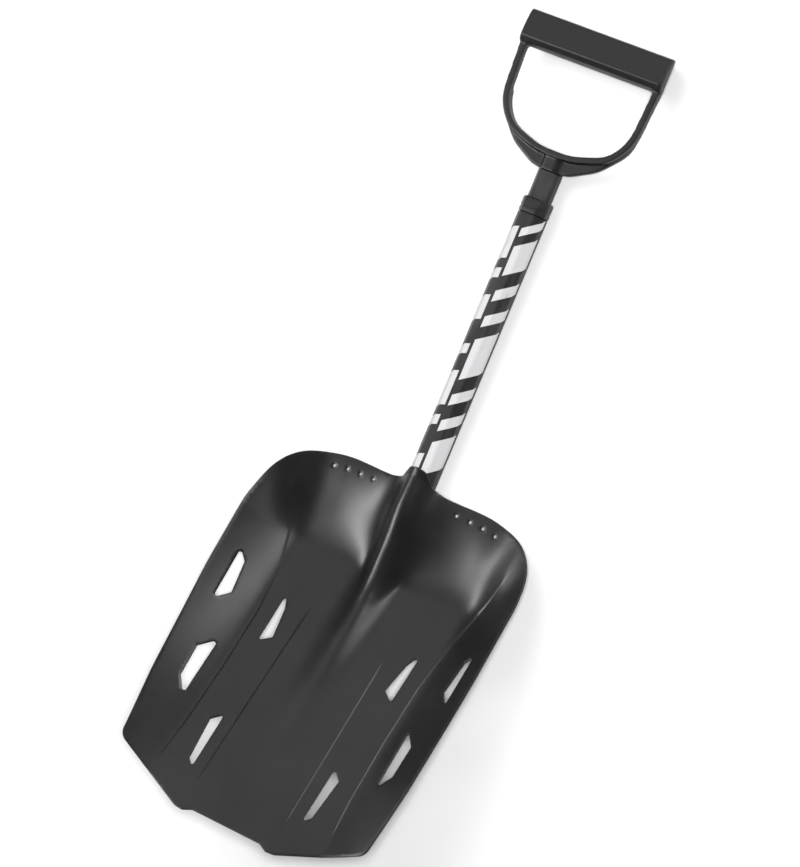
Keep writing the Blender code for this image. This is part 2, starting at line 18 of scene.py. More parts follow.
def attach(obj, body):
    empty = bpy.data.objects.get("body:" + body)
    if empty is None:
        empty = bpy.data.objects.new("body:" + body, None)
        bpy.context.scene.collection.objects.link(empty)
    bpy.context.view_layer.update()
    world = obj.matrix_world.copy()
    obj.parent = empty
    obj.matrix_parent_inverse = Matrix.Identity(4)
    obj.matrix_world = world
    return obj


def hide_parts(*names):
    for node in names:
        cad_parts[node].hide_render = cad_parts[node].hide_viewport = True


MM = 0.001

# Camera: where it stands, what it points at and how far it is turned round its own line of sight
CAMERA_PLACE = (1.2037, 0.0859, 2.5443)
CAMERA_AIM = (-0.0384, -0.0096, 0.0)
CAMERA_ROLL = math.radians(-71.3)
CAMERA_LENS = 153.6
CAMERA_SENSOR = 36.0
CAMERA_CLIP = 20.0

# Whole shovel
SHEET = 1.8
FIT = 0.35
LIFT = math.radians(22.0)
FLOOR_CROSSING = 223.0
TIP_REACH = 3.4
HALF_LENGTH = 328.6

# Shaft section: right half, from the front flat round to the back flat (x, z, corner radius)
SECTION_HALF_WIDTH = 11.4
SECTION_HALF_DEPTH = 10.2
SECTION = (
    (6.2, SECTION_HALF_DEPTH, 2.0),
    (SECTION_HALF_WIDTH, 3.1, 3.0),
    (SECTION_HALF_WIDTH, -4.3, 3.0),
    (6.9, -SECTION_HALF_DEPTH, 2.5),
)
SMALLEST_CORNER = 0.6
SMOOTH_ANGLE = 35.0
TUBE_EDGE = 0.4  # how far a tube's outer end edges are eased
BORE_EDGE = 0.6  # the same inside, as a share of TUBE_EDGE
CORNER_STEPS = 10
LONGEST_CORNER = 0.48  # a corner's arc takes up at most this share of the shorter side next to it
NOTHING = 1e-6
AXIS_HEIGHT = SECTION_HALF_DEPTH + FIT + SHEET
LOWER_BORE = -1.0
UPPER_FACE = -2.1
UPPER_BORE = -3.3
COLLAR_FACE = 0.3
SOCKET_FACE = FIT + SHEET
LOWER_ENDS = (-125.0, 182.2)
UPPER_ENDS = (-52.0, 217.3)
BUTTON_HOLE_RADIUS = 3.3
DRILL_SIDES = 40
DRILL_DEPTH = 10.0
BLADE_LOCK = -105.0
EXTENSION_LOCK = -19.0
EXTENSION = 170.0

# Collar: its profile as (step from the face, distance along) at its low end, groove and high end
COLLAR_ENDS = (182.5, 194.8)
COLLAR_BORE = UPPER_FACE + 0.3
COLLAR_LOW_END = ((-0.9, 0.0), (-0.1, 0.5), (0.0, 1.1))
COLLAR_GROOVE = ((0.0, -0.8), (-0.35, -0.4), (-0.35, 0.4), (0.0, 0.8))
COLLAR_GROOVE_SHARE = 0.35  # where the groove sits, as a share of the collar's length
COLLAR_HIGH_END = ((0.0, -1.6), (-0.3, -0.7), (-1.2, 0.0))
COLLAR_BORE_EDGE = (0.2, 0.3)

# Blade outline: right half, from the tip notch round to the shoulder (x, y, corner radius)
BLADE_HALF_WIDTH = 121.5
BLADE_OUTLINE = (
    (30.8, 0.0, 1.5),
    (38.4, -3.4, 3.0),
    (46.0, -2.8, 12.0),
    (112.2, 25.4, 9.0),
    (117.4, 82.0, 300.0),
    (121.0, 172.0, 300.0),
    (121.0, 234.0, 60.0),
    (117.0, 263.0, 40.0),
    (102.0, 286.6, 40.0),
    (66.0, 296.4, 70.0),
    (25.0, 294.8, 12.0),
    (13.6, 295.6, 3.0),
    (7.6, 301.4, 3.0),
)
PERFORATIONS = (
    ((107.1, 195.9), (100.7, 188.4), (97.6, 162.7), (106.3, 151.3)),
    ((62.1, 184.5), (56.0, 171.3), (51.9, 147.0), (61.4, 140.2)),
    ((87.8, 125.9), (98.2, 113.7), (97.3, 88.0), (88.7, 75.7)),
    ((50.9, 76.2), (59.4, 68.6), (56.5, 35.0), (50.7, 28.8)),
)
PERFORATION_CORNER = 1.5
PERFORATION_STEPS = 5
OUTLINE_STEPS = 12
SHOULDER_HOLES = ((38.2, 286.7), (50.3, 286.5), (62.0, 286.0), (73.7, 284.4))
SHOULDER_HOLE_RADIUS = 1.25
SHOULDER_HOLE_SIDES = 18

# Blade floor and walls
SIDE_START = 77.0
SIDE_POWER = 1.3
SIDE_EASE = 0.16  # how softly the side walls start near the back, as a share of their width
SIDE_LEAST_EASE = 0.01
SIDE_EASE_START = 150.0  # the softness grows from here, over the length below
SIDE_EASE_LENGTH = 90.0
SIDE_HEIGHT_AT_TIP = 8.5
SIDE_HEIGHT_GROWTH = 0.1
SIDE_HEIGHT_LIMIT = 31.0
BACK_START = 222.0
BACK_END = 296.0
BACK_HEIGHT = 28.0
BACK_POWER = 1.7
BACK_BOWL = 0.75  # how far the back wall is an even S and not a plain curve
BOWL_ENDS = (62.0, 125.0)  # the S fades out between these distances from the middle
DISH_DEPTH = 6.0  # each half of the back wall is dished round this distance from the middle
DISH_MIDDLE = 52.0
DISH_WIDTH = 45.0
DISH_END = 119.0  # the dish fades out over this last distance before its end
DISH_FADE = 34.0
WALL_BLEND = 1.4
FLARE_HEIGHT = 6.5
FLARE_WIDTH = 24.0
FILLET = 5.0  # how roundly the tunnel runs into the floor
FILLET_AT_MOUTH = 7.0
TUNNEL_CROWN = 1.7  # the tunnel's top is arched by this much
TUNNEL_ARCH = 17.0  # radius of that arch
TUNNEL_TOP_CORNER = 7.0
TUNNEL_WALL_SLOPE = 1.6
TUNNEL_CORNER = 3.0
RIDGE_HEIGHT = 9.5  # where the tunnel sinks into the floor; from there it runs out towards the tip
RIDGE_WIDTH = 12.5
RIDGE_ENDS = (60.0, 205.0)
RIDGE_POWER = 1.4

# Pressed lines in the blade: their step, width and bead, how they fade at the ends, and their points
CREASE_STEP = 0.75
CREASE_WIDTH = 0.9
CREASE_REACH = 14.0  # outside the line the step dies away over this many widths
CREASE_BEAD = 0.12
CREASE_BEAD_INSET = 0.7
CREASE_LEAD = 8.0  # a line starts this far before its first point and fades in over the next length
CREASE_FADE_IN = 26.0
CREASE_TAIL = 4.0
CREASE_FADE_OUT = 40.0
CREASE_ROWS = (-1.4, -0.7, 0.0, 0.7, 1.4)  # rows of mesh points along a line, in widths
OUTER_CREASE = (
    (79.0, 20.0),
    (75.5, 60.0),
    (74.0, 110.0),
    (74.5, 160.0),
    (79.0, 200.0),
    (87.0, 230.0),
    (94.5, 247.0),
    (99.0, 262.0),
)
INNER_CREASE = ((40.5, 16.0), (39.5, 90.0), (38.5, 150.0), (37.5, 186.0))

# Rim of the socket: carries the plate's side walls up to the blade
RIM_ENDS = (-131.0, -46.0)
RIM_STEP = 2.5
RIM_FOOT = -8.0
RIM_INSET = 0.15  # how far its faces stay inside the plate's wall
RIM_SINK = 0.6  # how far it goes into the blade's sheet
RIM_LEVELS = 6

# Blade mesh
COARSE = 2.4
FINE = 1.1
EDGE_STEP = 1.6
FINE_HALF_WIDTH = 26.0
FINE_START = 150.0
GRID_TOP = 304.0
ROW_SPACING = 0.866  # between rows of a triangular grid, as a share of its step
RIM_CLEARANCE = 1.1  # how far the pressed lines' mesh points stay from the outline and the holes
FINE_CLEARANCE = 0.75 * FINE  # how far both grids' points stay from the outline, holes and lines
COARSE_CLEARANCE = 0.6 * COARSE
MERGE_DISTANCE = 1e-5
INSIDE_ONLY = 2  # makes the triangulation leave out what lies outside the outline
HOLE_SEARCH = 2.0  # points further from a hole than this many times its width are not in it
EDGE_BEVEL = 0.45
EDGE_SEGMENTS = 2
EDGE_ANGLE = 55.0
SHEET_SMOOTH_ANGLE = 60.0
FAIRED_FROM = (24.0, 150.0)
BLADE_FAIRING = 50  # turns of evening out
FAIRING_SHARE = 0.5

# Printed blocks on the outer tube: (start, length, slant) along the tube. Slant moves the outer edge.
PRINT_PROUD = 0.05
PRINT_COLUMNS = 26
LEFT_BLOCKS = (
    (-34.0, 14.0, 5.0),
    (4.0, 8.0, 5.0),
    (20.0, 28.0, 5.0),
    (62.0, 8.0, 5.0),
    (90.0, 20.0, 5.0),
    (124.0, 8.0, 5.0),
    (140.0, 26.0, 5.0),
)
RIGHT_BLOCKS = (
    (-32.0, 27.0, 12.0),
    (4.0, 9.0, 12.0),
    (25.0, 9.0, 12.0),
    (46.0, 33.0, 12.0),
    (89.0, 9.0, 12.0),
    (110.0, 9.0, 12.0),
    (131.0, 24.0, 12.0),
    (163.0, 7.0, 12.0),
)
LEFT_BAND = (-17.0, -2.0)
RIGHT_BAND = (0.5, 19.0)

# Grip, seen from the front: right halves, and the bar's section (along the shaft, depth, radius)
GRIP_TOP = 328.6
GRIP_HALF_WIDTH = 62.8
ARM_FRONT = 9.4
ARM_BACK = 2.4
WEB_FRONT = 5.0
WEB_BACK = 0.6
NECK_FACE = UPPER_FACE + 0.3
NECK_LOW = 217.6
NECK_TOP = 230.0
BAR_SECTION = (
    (GRIP_TOP, 10.0, 3.0),
    (307.0, 14.0, 2.0),
    (302.8, 11.0, 2.5),
    (300.6, 6.0, 2.5),
    (302.0, -8.0, 4.0),
    (308.0, -AXIS_HEIGHT, 3.0),
    (323.5, -AXIS_HEIGHT, 3.0),
    (GRIP_TOP, -8.0, 4.0),
)
BAR_PLAN = (
    (58.0, 15.0, 4.0),
    (GRIP_HALF_WIDTH, ARM_FRONT + 3.2, 2.0),
    (GRIP_HALF_WIDTH, ARM_BACK + 2.6, 2.0),
    (49.0, -AXIS_HEIGHT - 1.0, 6.0),
)
BAR_PLAN_START = 290.0
GRIP_OPENING = (
    (56.8, 304.0, 0.0),
    (54.2, 258.4, 24.0),
    (42.6, 242.2, 18.0),
    (14.0, 233.4, 36.0),
)
GRIP_BAND = (
    (62.5, 310.0, 0.0),
    (59.2, 256.6, 24.0),
    (45.0, 238.2, 18.0),
    (16.0, 228.8, 36.0),
)
GRIP_WEB = (
    (59.0, 266.0, 0.0),
    (56.6, 250.0, 18.0),
    (37.5, 229.5, 24.0),
    (16.6, 219.0, 8.0),
    (9.0, NECK_LOW, 0.0),
)
GRIP_EDGE_STEP = 1.3
GRIP_CURVE_STEPS = 8
GRIP_BAR_STEPS = 14
GRIP_CUT = 50.0  # how far the opening's cutter reaches to either side
BAR_PLAN_END = GRIP_TOP + 5.0
GRIP_FAIRING = 25
GRIP_VOXEL = 0.0007
GRIP_SMOOTHING = 8
GRIP_SMOOTHING_SHARE = 0.5

# Colours (linear) and finishes
BLADE_COLOUR = (0.006, 0.006, 0.0063)
# Lighter colour for scuffed edges, also used as a painted highlight along every convex edge
BLADE_WORN_AND_EDGE_HIGHLIGHT = (0.09, 0.09, 0.092)
SHAFT_COLOUR = (0.009, 0.009, 0.0094)
GRIP_COLOUR = (0.007, 0.007, 0.0074)
NYLON_COLOUR = (0.007, 0.007, 0.0074)
PRINT_COLOUR = (0.6, 0.6, 0.61)
PRINT_WORN = (0.3, 0.3, 0.31)
STEEL_COLOUR = (0.58, 0.58, 0.59)
FLOOR_COLOUR = (0.93, 0.93, 0.93)
FLOOR_LIGHTER = (0.95, 0.95, 0.95)
BLADE_ROUGHNESS = 0.35
PLATE_ROUGHNESS = 0.42
SHAFT_ROUGHNESS = 0.45
RIVET_ROUGHNESS = 0.4
PLASTIC_ROUGHNESS = 0.42
PRINT_ROUGHNESS = 0.5
FLOOR_ROUGHNESS = 0.9
GRIP_GRAIN = 1100.0
NYLON_GRAIN = 1500.0

# Studio, in metres and watts. Mirrored lights only make highlights, and the others make none.
WORLD_STRENGTH = 0.1
LIGHT_AIM = (0.0, -0.05, 0.0)
LIGHTS = (
    ("overhead", (-1.38, -0.76, 1.83), (0.32, 0.32), 17.0, True),
    ("ridge_strip", (-1.37, -0.2, 1.31), (0.6, 0.34), 14.0, True),
    ("wall_soft", (1.1, 1.35, 1.55), (0.9, 0.9), 22.0, True),
    ("floor_panel", (-0.72, 1.4, 1.62), (1.7, 1.7), 8.5, True),
    ("front_fill", (1.14, 0.08, 2.42), (0.4, 0.4), 62.0, False),
    ("left_soft", (-1.2, 0.9, 1.8), (2.4, 2.4), 42.0, False),
)
STAGE_REACH = 6.0
STAGE_CELLS = 8

# Sockets of the mix node, which has several of the same name
MIX_FACTOR = 0
MIX_FIRST = 6
MIX_SECOND = 7
MIX_RESULT = 2


# Materials

class Nodes:
    """Adds nodes to a new material and links them by socket name."""

    def __init__(self, name):
        self.material = bpy.data.materials.new(name)
        self.material.use_nodes = True
        self.tree = self.material.node_tree
        self.shader = self.tree.nodes["Principled BSDF"]

    def add(self, kind, **values):
        node = self.tree.nodes.new(kind)
        for name, value in values.items():
            node.inputs[name].default_value = value
        return node

    def link(self, source, output, target, socket):
        self.tree.links.new(source.outputs[output], target.inputs[socket])

    def place(self, scale=1.0):
        """Object coordinates in metres, times a scale."""
        coordinates = self.add("ShaderNodeTexCoord")
        mapping = self.add("ShaderNodeMapping")
        mapping.inputs["Scale"].default_value = scale if isinstance(scale, tuple) else (scale,) * 3
        self.link(coordinates, "Object", mapping, "Vector")
        return mapping

    def noise(self, scale, detail=3.0, roughness=0.6, stretch=1.0):
        node = self.add("ShaderNodeTexNoise", Scale=scale, Detail=detail, Roughness=roughness)
        self.link(self.place(stretch), "Vector", node, "Vector")
        return node

    def ramp(self, source, output, low, high, start, end):
        """A value that runs from start to end while the source runs from low to high."""
        node = self.add("ShaderNodeMapRange")
        values = {"From Min": low, "From Max": high, "To Min": start, "To Max": end}
        for name, value in values.items():
            node.inputs[name].default_value = value
        self.link(source, output, node, "Value")
        return node

    def mix(self, factor, output, first, second):
        """The base colour as a mix of two, by a factor."""
        node = self.add("ShaderNodeMix")
        node.data_type = "RGBA"
        node.inputs[MIX_FIRST].default_value = (*first, 1.0)
        node.inputs[MIX_SECOND].default_value = (*second, 1.0)
        self.link(factor, output, node, MIX_FACTOR)
        self.link(node, MIX_RESULT, self.shader, "Base Color")

    def maths(self, operation, first, second):
        """One value from two (node, output) pairs."""
        node = self.add("ShaderNodeMath")
        node.operation = operation
        self.link(*first, node, 0)
        self.link(*second, node, 1)
        return node

    def bump(self, *layers):
        """Bump from layers of (node, output, strength, depth), each stacked on the one before."""
        last = None
        for source, output, strength, depth in layers:
            node = self.add("ShaderNodeBump", Strength=strength, Distance=depth)
            self.link(source, output, node, "Height")
            if last:
                self.link(last, "Normal", node, "Normal")
            last = node
        self.link(last, "Normal", self.shader, "Normal")


def coated_metal(name, colour, worn_and_edge_highlight, roughness, gloss=0.5, grain=900.0, orange_peel=0.00006):
    """Satin powder coat on sheet metal: fine grain, slight unevenness, and a lighter colour on convex
    edges: scuffs in patches, and a painted highlight along every edge.
    """
    nodes = Nodes(name)
    cloud = nodes.noise(14.0, detail=4.0)
    fine = nodes.noise(grain, detail=2.0)
    swirl = nodes.noise(60.0, detail=5.0, stretch=(1.0, 0.25, 1.0))
    tint = nodes.ramp(cloud, "Fac", 0.35, 0.7, 0.0, 0.06)
    geometry = nodes.add("ShaderNodeNewGeometry")
    # Painted highlight: every convex edge is lightened a little, and scuffed patches are lightened more
    edge = nodes.ramp(geometry, "Pointiness", 0.53, 0.6, 0.0, 0.55)
    patches = nodes.ramp(swirl, "Fac", 0.45, 0.62, 0.15, 1.0)
    scuff_and_edge_highlight = nodes.maths("MULTIPLY", (edge, "Result"), (patches, "Result"))
    total = nodes.maths("ADD", (scuff_and_edge_highlight, "Value"), (tint, "Result"))
    nodes.mix(total, "Value", colour, worn_and_edge_highlight)
    rough = nodes.ramp(cloud, "Fac", 0.3, 0.7, roughness - 0.035, roughness + 0.045)
    nodes.link(rough, "Result", nodes.shader, "Roughness")
    nodes.shader.inputs["Metallic"].default_value = 0.0
    nodes.shader.inputs["Specular IOR Level"].default_value = gloss
    nodes.bump((cloud, "Fac", 0.25, orange_peel * 5.0), (fine, "Fac", 0.35, orange_peel))
    return nodes.material


def moulded_plastic(name, colour, roughness, grain):
    """Spark-eroded moulded nylon: a cell grain, matt, a little lighter in soft patches."""
    nodes = Nodes(name)
    cells = nodes.add("ShaderNodeTexVoronoi", Scale=grain)
    nodes.link(nodes.place(), "Vector", cells, "Vector")
    cloud = nodes.noise(25.0, detail=4.0)
    fine = nodes.noise(grain * 0.6, detail=3.0)
    tint = nodes.ramp(cloud, "Fac", 0.3, 0.75, 0.0, 0.35)
    lighter = tuple(2.0 * part for part in colour)
    nodes.mix(tint, "Result", colour, lighter)
    rough = nodes.ramp(cloud, "Fac", 0.3, 0.7, roughness - 0.05, roughness + 0.05)
    nodes.link(rough, "Result", nodes.shader, "Roughness")
    nodes.bump((cells, "Distance", 0.5, 0.00008), (fine, "Fac", 0.3, 0.00005))
    return nodes.material


def printed_ink(name):
    """Screen print: a thin matt layer with pinholes and faint wear along the tube."""
    nodes = Nodes(name)
    wear = nodes.noise(300.0, detail=4.0, stretch=(1.0, 0.12, 1.0))
    holes = nodes.ramp(wear, "Fac", 0.62, 0.72, 0.0, 0.5)
    nodes.mix(holes, "Result", PRINT_COLOUR, PRINT_WORN)
    nodes.shader.inputs["Roughness"].default_value = PRINT_ROUGHNESS
    nodes.bump((wear, "Fac", 0.2, 0.00003))
    return nodes.material


def drawn_steel(name):
    """Bright spring steel with fine drawing marks."""
    nodes = Nodes(name)
    marks = nodes.noise(500.0, detail=3.0, stretch=(1.0, 1.0, 0.1))
    nodes.shader.inputs["Base Color"].default_value = (*STEEL_COLOUR, 1.0)
    nodes.shader.inputs["Metallic"].default_value = 1.0
    rough = nodes.ramp(marks, "Fac", 0.3, 0.7, 0.2, 0.38)
    nodes.link(rough, "Result", nodes.shader, "Roughness")
    nodes.bump((marks, "Fac", 0.3, 0.00004))
    return nodes.material


def plain_floor(name):
    nodes = Nodes(name)
    cloud = nodes.noise(3.0)
    nodes.mix(nodes.ramp(cloud, "Fac", 0.3, 0.7, 0.0, 1.0), "Result", FLOOR_COLOUR, FLOOR_LIGHTER)
    nodes.shader.inputs["Roughness"].default_value = FLOOR_ROUGHNESS
    return nodes.material


# Shape helpers

def rounded(corners, steps):
    """Points of a closed outline whose corners (x, y, radius) are arcs."""
    points = []
    for number, (x, y, radius) in enumerate(corners):
        corner = Vector((x, y))
        back = Vector(corners[number - 1][:2]) - corner
        ahead = Vector(corners[(number + 1) % len(corners)][:2]) - corner
        if radius == 0.0:
            points.append(corner)
            continue
        half_angle = back.angle(ahead) / 2.0
        reach = radius / math.tan(half_angle)
        longest = LONGEST_CORNER * min(back.length, ahead.length)
        if reach > longest:
            radius *= longest / reach
            reach = longest
        inwards = (back.normalized() + ahead.normalized()).normalized()
        centre = corner + inwards * radius / math.sin(half_angle)
        start = corner + back.normalized() * reach - centre
        turn = math.pi - 2.0 * half_angle
        if back.x * ahead.y - back.y * ahead.x > 0.0:
            turn = -turn
        for step in range(steps + 1):
            points.append(centre + Matrix.Rotation(turn * step / steps, 2) @ start)
    return points


def both_sides(half):
    return list(half) + [(-x, y, radius) for x, y, radius in reversed(half)]


def tube_section(offset):
    """The shaft's section, with its faces moved out by an offset."""
    wider = 1.0 + offset / SECTION_HALF_WIDTH
    deeper = 1.0 + offset / SECTION_HALF_DEPTH
    corners = []
    for x, z, radius in SECTION:
        corners.append((x * wider, z * deeper, max(radius + offset / 2.0, SMALLEST_CORNER)))
    return rounded(both_sides(corners), CORNER_STEPS)


def new_piece(name, body, material):
    """Turn a bmesh in the shaft's frame into an object in metres, shaded smooth."""
    mesh = bpy.data.meshes.new(name)
    body.to_mesh(mesh)
    body.free()
    mesh.transform(Matrix.Scale(MM, 4) @ Matrix.Translation((0.0, 0.0, AXIS_HEIGHT)))
    thing = bpy.data.objects.new(name, mesh)
    bpy.context.scene.collection.objects.link(thing)
    mesh.materials.append(material)
    mesh.shade_smooth()
    mesh.set_sharp_from_angle(angle=math.radians(SMOOTH_ANGLE))
    return thing


def worked_out(thing):
    """Apply an object's modifiers."""
    bpy.context.view_layer.update()
    evaluated = thing.evaluated_get(bpy.context.evaluated_depsgraph_get())
    mesh = bpy.data.meshes.new_from_object(evaluated)
    thing.modifiers.clear()
    thing.data = mesh
    return thing


def combine(thing, tool, operation):
    """Cut or join two objects. The tool is used up."""
    boolean = thing.modifiers.new("Boolean", "BOOLEAN")
    boolean.operation = operation
    boolean.object = tool
    worked_out(thing)
    bpy.data.objects.remove(tool)


def loft_body(rings):
    """A closed body through rings of points, the last joined to the first, so it is a tube wall."""
    body = bmesh.new()
    loops = [[body.verts.new(point) for point in ring] for ring in rings]
    for number, loop in enumerate(loops):
        following = loops[(number + 1) % len(loops)]
        for step in range(len(loop)):
            after = (step + 1) % len(loop)
            body.faces.new((loop[step], loop[after], following[after], following[step]))
    bmesh.ops.recalc_face_normals(body, faces=body.faces)
    return body


def section_wall(stations):
    """A wall of the shaft's section through stations of (offset, distance along the shaft)."""
    rings = []
    for offset, y in stations:
        rings.append([(point.x, y, point.y) for point in tube_section(offset)])
    return loft_body(rings)


def tube_wall(face, bore, low, high):
    """A tube of the shaft's section, with its four end edges eased."""
    edge = TUBE_EDGE
    inner = edge * BORE_EDGE
    outside = [(face - edge, low), (face, low + edge), (face, high - edge), (face - edge, high)]
    inside_wall = [(bore + inner, high), (bore, high - inner), (bore, low + inner), (bore + inner, low)]
    return section_wall(outside + inside_wall)


def drill(thing, radius, y):
    """Cut a round hole through the back wall of a tube."""
    cutter = bmesh.new()
    centre = Matrix.Translation((0.0, y, -SECTION_HALF_DEPTH))
    bmesh.ops.create_cone(
        cutter,
        segments=DRILL_SIDES,
        radius1=radius,
        radius2=radius,
        depth=DRILL_DEPTH,
        cap_ends=True,
        matrix=centre,
    )
    combine(thing, new_piece("drill", cutter, thing.data.materials[0]), "DIFFERENCE")
    thing.data.set_sharp_from_angle(angle=math.radians(SMOOTH_ANGLE))


# Blade

def blade_frame():
    """Takes the blade's own frame into the shaft's."""
    back = TIP_REACH * math.cos(LIFT) + SHEET * math.sin(LIFT) - HALF_LENGTH
    place = (0.0, back, FLOOR_CROSSING * math.sin(LIFT))
    return Matrix.Translation(place) @ Matrix.Rotation(-LIFT, 4, "X")


def rise(distance, start, end, power):
    return max(0.0, (distance - start) / (end - start)) ** power


def smooth_step(share):
    share = min(max(share, 0.0), 1.0)
    return share * share * (3.0 - 2.0 * share)


def soft_max(first, second, reach):
    overlap = max(reach - abs(first - second), 0.0) / reach
    return max(first, second) + overlap * overlap * reach / 4.0


def soft_min(first, second, reach):
    return -soft_max(-first, -second, reach)


def line_at(line, y):
    """Distance from the middle of a pressed line at a distance from the tip."""
    for (x0, y0), (x1, y1) in zip(line, line[1:]):
        if y <= y1:
            return x0 + (x1 - x0) * (y - y0) / (y1 - y0)
    return line[-1][0]


def crease(x, y, line):
    """A pressed step that lowers everything outside its line, and runs out softly at both ends."""
    start = line[0][1]
    end = line[-1][1]
    fade_in = smooth_step((y - start + CREASE_LEAD) / CREASE_FADE_IN)
    fade_out = smooth_step((end + CREASE_TAIL - y) / CREASE_FADE_OUT)
    across = (abs(x) - line_at(line, y)) / CREASE_WIDTH
    step = CREASE_STEP * smooth_step(0.5 + across / 2.0) * math.exp(-max(across, 0.0) / CREASE_REACH)
    bead = CREASE_BEAD * math.exp(-(across + CREASE_BEAD_INSET) ** 2)
    return fade_in * fade_out * (bead - step)


def side_rise(x, y):
    height = min(SIDE_HEIGHT_AT_TIP + SIDE_HEIGHT_GROWTH * max(y, 0.0), SIDE_HEIGHT_LIMIT)
    across = (abs(x) - SIDE_START) / (BLADE_HALF_WIDTH - SIDE_START)
    ease = SIDE_EASE * smooth_step((y - SIDE_EASE_START) / SIDE_EASE_LENGTH) + SIDE_LEAST_EASE
    return height * ((across + math.hypot(across, ease)) / 2.0) ** SIDE_POWER


def back_rise(x, y):
    """How far the back wall has risen, as a share: a plain curve, turned into an S near the middle."""
    plain = rise(y, BACK_START, BACK_END, BACK_POWER)
    if y >= BACK_END:
        return plain
    bowl = smooth_step((y - BACK_START) / (BACK_END - BACK_START))
    share = BACK_BOWL * smooth_step((BOWL_ENDS[1] - abs(x)) / (BOWL_ENDS[1] - BOWL_ENDS[0]))
    return plain + share * (bowl - plain)


def dish_height(x, y):
    up = min(max((y - BACK_START) / (BACK_END - BACK_START), 0.0), 1.0)
    across = min(((abs(x) - DISH_MIDDLE) / DISH_WIDTH) ** 2, 1.0)
    dish = DISH_DEPTH * across * math.sin(math.pi * up) ** 2
    return dish * smooth_step((DISH_END - abs(x)) / DISH_FADE)


def ridge_height(x, y):
    start, end = RIDGE_ENDS
    along = max(0.0, min((y - start) / (end - start), 1.0)) ** RIDGE_POWER
    return RIDGE_HEIGHT * math.exp(-(x / RIDGE_WIDTH) ** 2) * along


def floor_height(x, y):
    """The blade without the tunnel: walls, flare, dish and ridge, with both pressed lines."""
    back = back_rise(x, y)
    walls = (side_rise(x, y) ** WALL_BLEND + (BACK_HEIGHT * back) ** WALL_BLEND) ** (1.0 / WALL_BLEND)
    flare = FLARE_HEIGHT * back * math.exp(-(x / FLARE_WIDTH) ** 2)
    lines = (crease(x, y, OUTER_CREASE), crease(x, y, INNER_CREASE))
    return walls + flare + dish_height(x, y) + ridge_height(x, y) + lines[0] + lines[1]


def tunnel_height(x, y):
    """The outside of the socket over the shaft, as a height over the blade's floor."""
    wider = 1.0 + SOCKET_FACE / SECTION_HALF_WIDTH
    top = SECTION_HALF_DEPTH + SOCKET_FACE
    shoulder = SECTION[0][0] * wider
    side = SECTION[1][0] * wider
    low = SECTION[1][1] * (1.0 + SOCKET_FACE / SECTION_HALF_DEPTH)
    facet = top - (abs(x) - shoulder) * (top - low) / (side - shoulder)
    wall = low - (abs(x) - side) * TUNNEL_WALL_SLOPE
    arch = top + TUNNEL_CROWN - x * x / (2.0 * TUNNEL_ARCH)
    height = soft_min(soft_min(arch, facet, TUNNEL_TOP_CORNER), wall, TUNNEL_CORNER)
    return height / math.cos(LIFT) + (y - FLOOR_CROSSING) * math.tan(LIFT)


def blade_height(x, y):
    reach = FILLET + (FILLET_AT_MOUTH - FILLET) * rise(y, BACK_START, BACK_END, 1.0)
    return soft_max(floor_height(x, y), tunnel_height(x, y), reach)


def resampled(points, step):
    """Points at even distances round a closed outline."""
    even = []
    for number, point in enumerate(points):
        after = points[(number + 1) % len(points)]
        count = max(1, round((after - point).length / step))
        even.extend(point.lerp(after, part / count) for part in range(count))
    return even


def faired(loop, turns, least_x=-1.0, least_y=-1000.0):
    """Even out a closed curve by moving its points towards the middle of their neighbours."""
    for turn in range(turns):
        before = [point.copy() for point in loop]
        for number, point in enumerate(before):
            if abs(point.x) > least_x and point.y > least_y:
                middle = (before[number - 1] + before[(number + 1) % len(before)]) / 2.0
                loop[number] = point.lerp(middle, FAIRING_SHARE)
    return loop


def blade_loops():
    """The blade's outline and every hole in it, as closed loops of points."""
    outline = resampled(rounded(both_sides(BLADE_OUTLINE), OUTLINE_STEPS), EDGE_STEP)
    loops = [faired(outline, BLADE_FAIRING, *FAIRED_FROM)]
    for side in (1.0, -1.0):
        for corners in PERFORATIONS:
            hole = rounded([(side * x, y, PERFORATION_CORNER) for x, y in corners], PERFORATION_STEPS)
            loops.append(resampled(hole, EDGE_STEP))
        for x, y in SHOULDER_HOLES:
            centre = Vector((side * x, y))
            hole = []
            for step in range(SHOULDER_HOLE_SIDES):
                angle = 2.0 * math.pi * step / SHOULDER_HOLE_SIDES
                hole.append(centre + SHOULDER_HOLE_RADIUS * Vector((math.cos(angle), math.sin(angle))))
            loops.append(hole)
    return loops


def inside(point, loop):
    """Whether a point lies in a closed loop, so a ray from it crosses the loop an odd number of times."""
    crossings = 0
    for number, end in enumerate(loop):
        start = loop[number - 1]
        if (start.y > point.y) != (end.y > point.y):
            part = (point.y - start.y) / (end.y - start.y)
            crossings += point.x < start.x + (end.x - start.x) * part
    return crossings % 2 == 1


def in_a_hole(point, holes):
    for hole in holes:
        width = (hole[0] - hole[len(hole) // 2]).length
        if (point.xy - hole[0]).length < HOLE_SEARCH * width and inside(point, hole):
            return True
    return False


def near_any(tree, point, distance):
    return tree.find((point[0], point[1], 0.0))[2] < distance


def tree_of(points):
    tree = KDTree(len(points))
    for number, point in enumerate(points):
        tree.insert((point[0], point[1], 0.0), number)
    tree.balance()
    return tree


def crease_points():
    points = []
    for line in (OUTER_CREASE, INNER_CREASE):
        steps = round((line[-1][1] - line[0][1]) / EDGE_STEP)
        for step in range(steps + 1):
            y = line[0][1] + (line[-1][1] - line[0][1]) * step / steps
            for side in (1.0, -1.0):
                for across in CREASE_ROWS:
                    points.append((side * (line_at(line, y) + across * CREASE_WIDTH), y))
    return points


